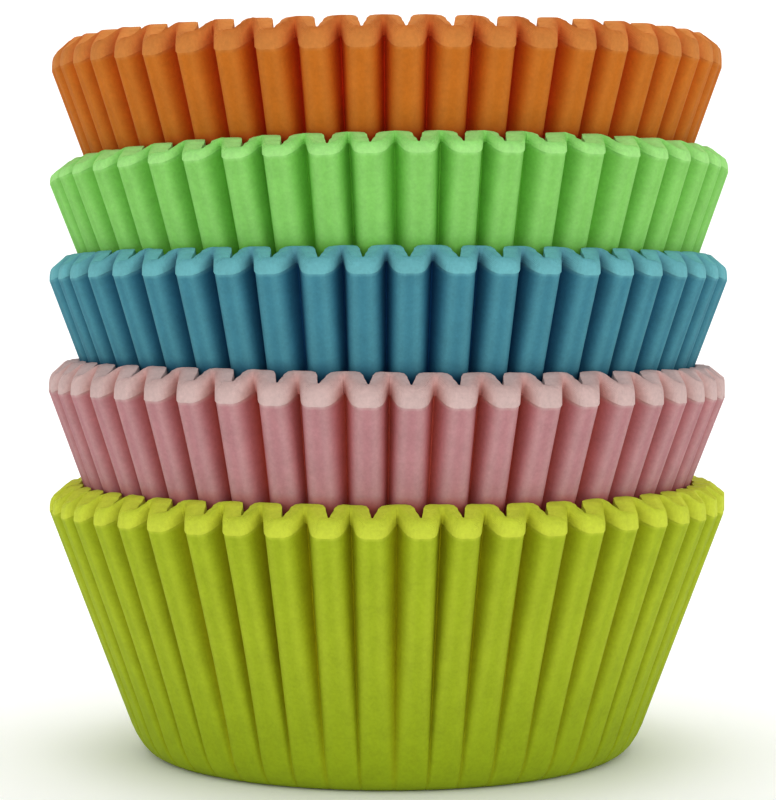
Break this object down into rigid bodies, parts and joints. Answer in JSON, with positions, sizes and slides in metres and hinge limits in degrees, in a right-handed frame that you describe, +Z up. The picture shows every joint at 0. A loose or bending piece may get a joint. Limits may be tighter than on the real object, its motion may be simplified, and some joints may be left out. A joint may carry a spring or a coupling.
{
  "type": "stack of cupcake liners",
  "caption": "Free-standing stack of pleated paper cupcake liners, nested in packs of one pastel or bright colour each, with the top cup open",
  "frame": {"origin": "the middle of the flat bottom of the lowest liners, where the stack stands", "axes": "+Z up along the stack, -Y toward the viewer of the picture, +X to that viewer's right"},
  "size_m": [0.0702, 0.0705, 0.0745],
  "materials": {
    "lime_paper": "matte",
    "pink_paper": "matte",
    "blue_paper": "matte",
    "mint_paper": "matte",
    "orange_paper": "matte"
  },
  "bodies": {
    "root": {"lime_liners": "lime_paper", "pink_liners": "pink_paper", "blue_liners": "blue_paper", "mint_liners": "mint_paper", "orange_liners": "orange_paper"}
  },
  "joints": []
}
